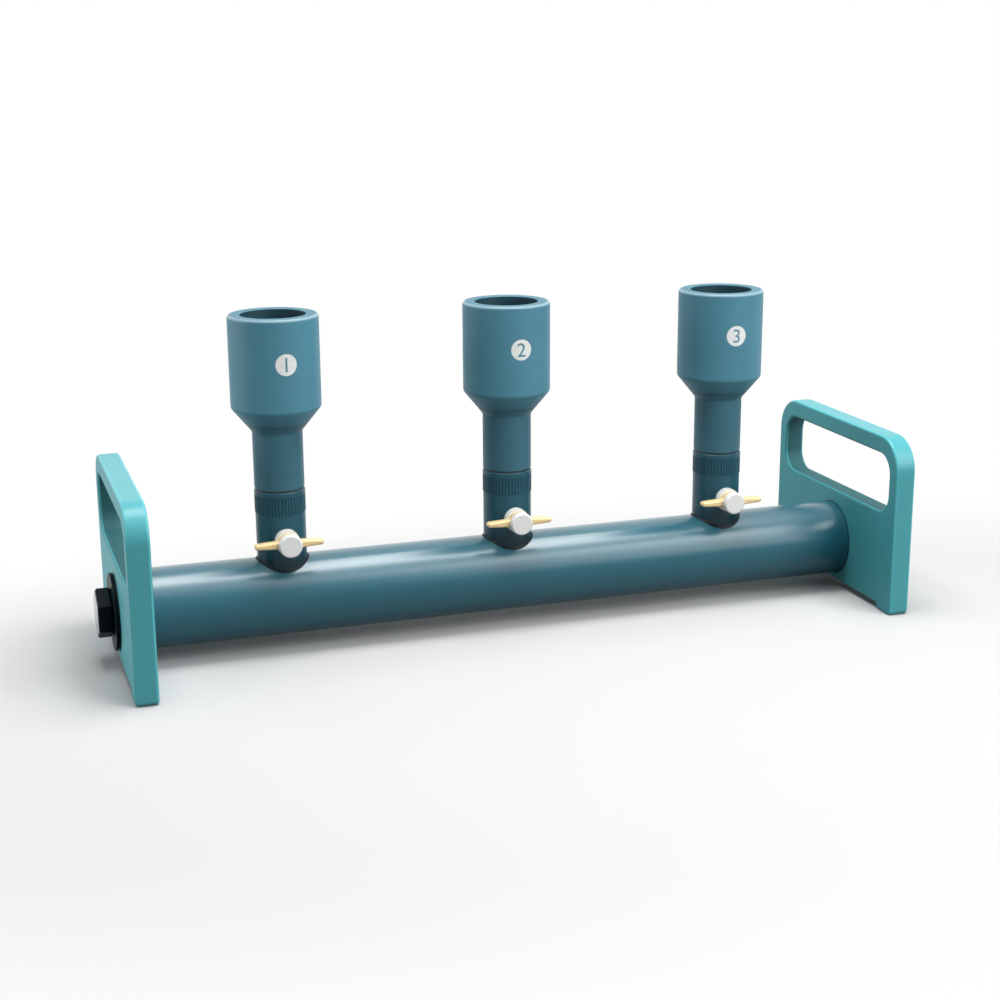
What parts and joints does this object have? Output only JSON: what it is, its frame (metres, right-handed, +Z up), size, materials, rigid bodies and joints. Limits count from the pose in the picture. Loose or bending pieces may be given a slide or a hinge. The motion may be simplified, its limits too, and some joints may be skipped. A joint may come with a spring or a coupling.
{
  "type": "vacuum manifold",
  "caption": "Bench vacuum manifold: a pipe between two handled end plates, with valved ports that carry screw-off funnel adapters for stopper-mounted filter funnels.",
  "frame": {"origin": "on the floor plane under the middle of the bounding box", "axes": "+X along the pipe towards the hose nipple, -Y towards the valve levers, +Z up the ports"},
  "size_m": [0.5544, 0.162, 0.211],
  "materials": {
    "pipe": "extruded dark blue-green pipe with a soft gloss",
    "end_plate": "machined teal sheet with a satin gloss",
    "bush": "dark blue-green moulding",
    "end_fitting": "near-black moulding",
    "seal": "black rubber",
    "valve_body": "dark blue-green turned plastic",
    "funnel_adapter": "dark blue-green turned plastic with a soft gloss",
    "spindle": "white low-friction plastic",
    "lever": "tan-yellow moulding"
  },
  "bodies": {
    "root": {"manifold_tube": "pipe", "left_end_plate": "end_plate", "right_end_plate": "end_plate", "left_end_bush": "bush", "right_end_bush": "bush", "blanking_plug": "end_fitting", "blanking_plug_gasket": "seal", "hose_nipple": "end_fitting", "hose_nipple_gasket": "seal", "valve_body_1": "valve_body", "grip_collar_1": "valve_body", "valve_body_2": "valve_body", "grip_collar_2": "valve_body", "valve_body_3": "valve_body", "grip_collar_3": "valve_body"},
    "valve_1": {"valve_spindle_1": "spindle", "valve_lever_1": "lever", "spindle_cap_1": "spindle", "spindle_rings_1": "seal", "spindle_washer_1": "spindle", "spindle_nut_1": "spindle"},
    "adapter_lift_1": {"adapter_seal_1": "seal"},
    "adapter_1": {"funnel_adapter_1": "funnel_adapter"},
    "valve_2": {"valve_spindle_2": "spindle", "valve_lever_2": "lever", "spindle_cap_2": "spindle", "spindle_rings_2": "seal", "spindle_washer_2": "spindle", "spindle_nut_2": "spindle"},
    "adapter_lift_2": {"adapter_seal_2": "seal"},
    "adapter_2": {"funnel_adapter_2": "funnel_adapter"},
    "valve_3": {"valve_spindle_3": "spindle", "valve_lever_3": "lever", "spindle_cap_3": "spindle", "spindle_rings_3": "seal", "spindle_washer_3": "spindle", "spindle_nut_3": "spindle"},
    "adapter_lift_3": {"adapter_seal_3": "seal"},
    "adapter_3": {"funnel_adapter_3": "funnel_adapter"}
  },
  "joints": [
    {"name": "valve_turn_1", "type": "hinge", "parent": "root", "child": "valve_1", "pos_m": [-0.161, 0, 0.0723], "axis": [0, 1, 0], "continuous": true},
    {"name": "adapter_rise_1", "type": "slide", "parent": "root", "child": "adapter_lift_1", "axis": [0, 0, 1], "range_m": [0, 0.012]},
    {"name": "adapter_unscrew_1", "type": "hinge", "parent": "adapter_lift_1", "child": "adapter_1", "pos_m": [-0.161, 0, 0.1035], "axis": [0, 0, 1], "range_deg": [0, 1440]},
    {"name": "valve_turn_2", "type": "hinge", "parent": "root", "child": "valve_2", "pos_m": [-0.012, 0, 0.0723], "axis": [0, 1, 0], "continuous": true},
    {"name": "adapter_rise_2", "type": "slide", "parent": "root", "child": "adapter_lift_2", "axis": [0, 0, 1], "range_m": [0, 0.012]},
    {"name": "adapter_unscrew_2", "type": "hinge", "parent": "adapter_lift_2", "child": "adapter_2", "pos_m": [-0.012, 0, 0.1035], "axis": [0, 0, 1], "range_deg": [0, 1440]},
    {"name": "valve_turn_3", "type": "hinge", "parent": "root", "child": "valve_3", "pos_m": [0.137, 0, 0.0723], "axis": [0, 1, 0], "continuous": true},
    {"name": "adapter_rise_3", "type": "slide", "parent": "root", "child": "adapter_lift_3", "axis": [0, 0, 1], "range_m": [0, 0.012]},
    {"name": "adapter_unscrew_3", "type": "hinge", "parent": "adapter_lift_3", "child": "adapter_3", "pos_m": [0.137, 0, 0.1035], "axis": [0, 0, 1], "range_deg": [0, 1440]}
  ],
  "couplings": [
    {"joint": "adapter_rise_1", "follows": "adapter_unscrew_1", "m_per_rad": 0.0004774},
    {"joint": "adapter_rise_2", "follows": "adapter_unscrew_2", "m_per_rad": 0.0004774},
    {"joint": "adapter_rise_3", "follows": "adapter_unscrew_3", "m_per_rad": 0.0004774}
  ]
}
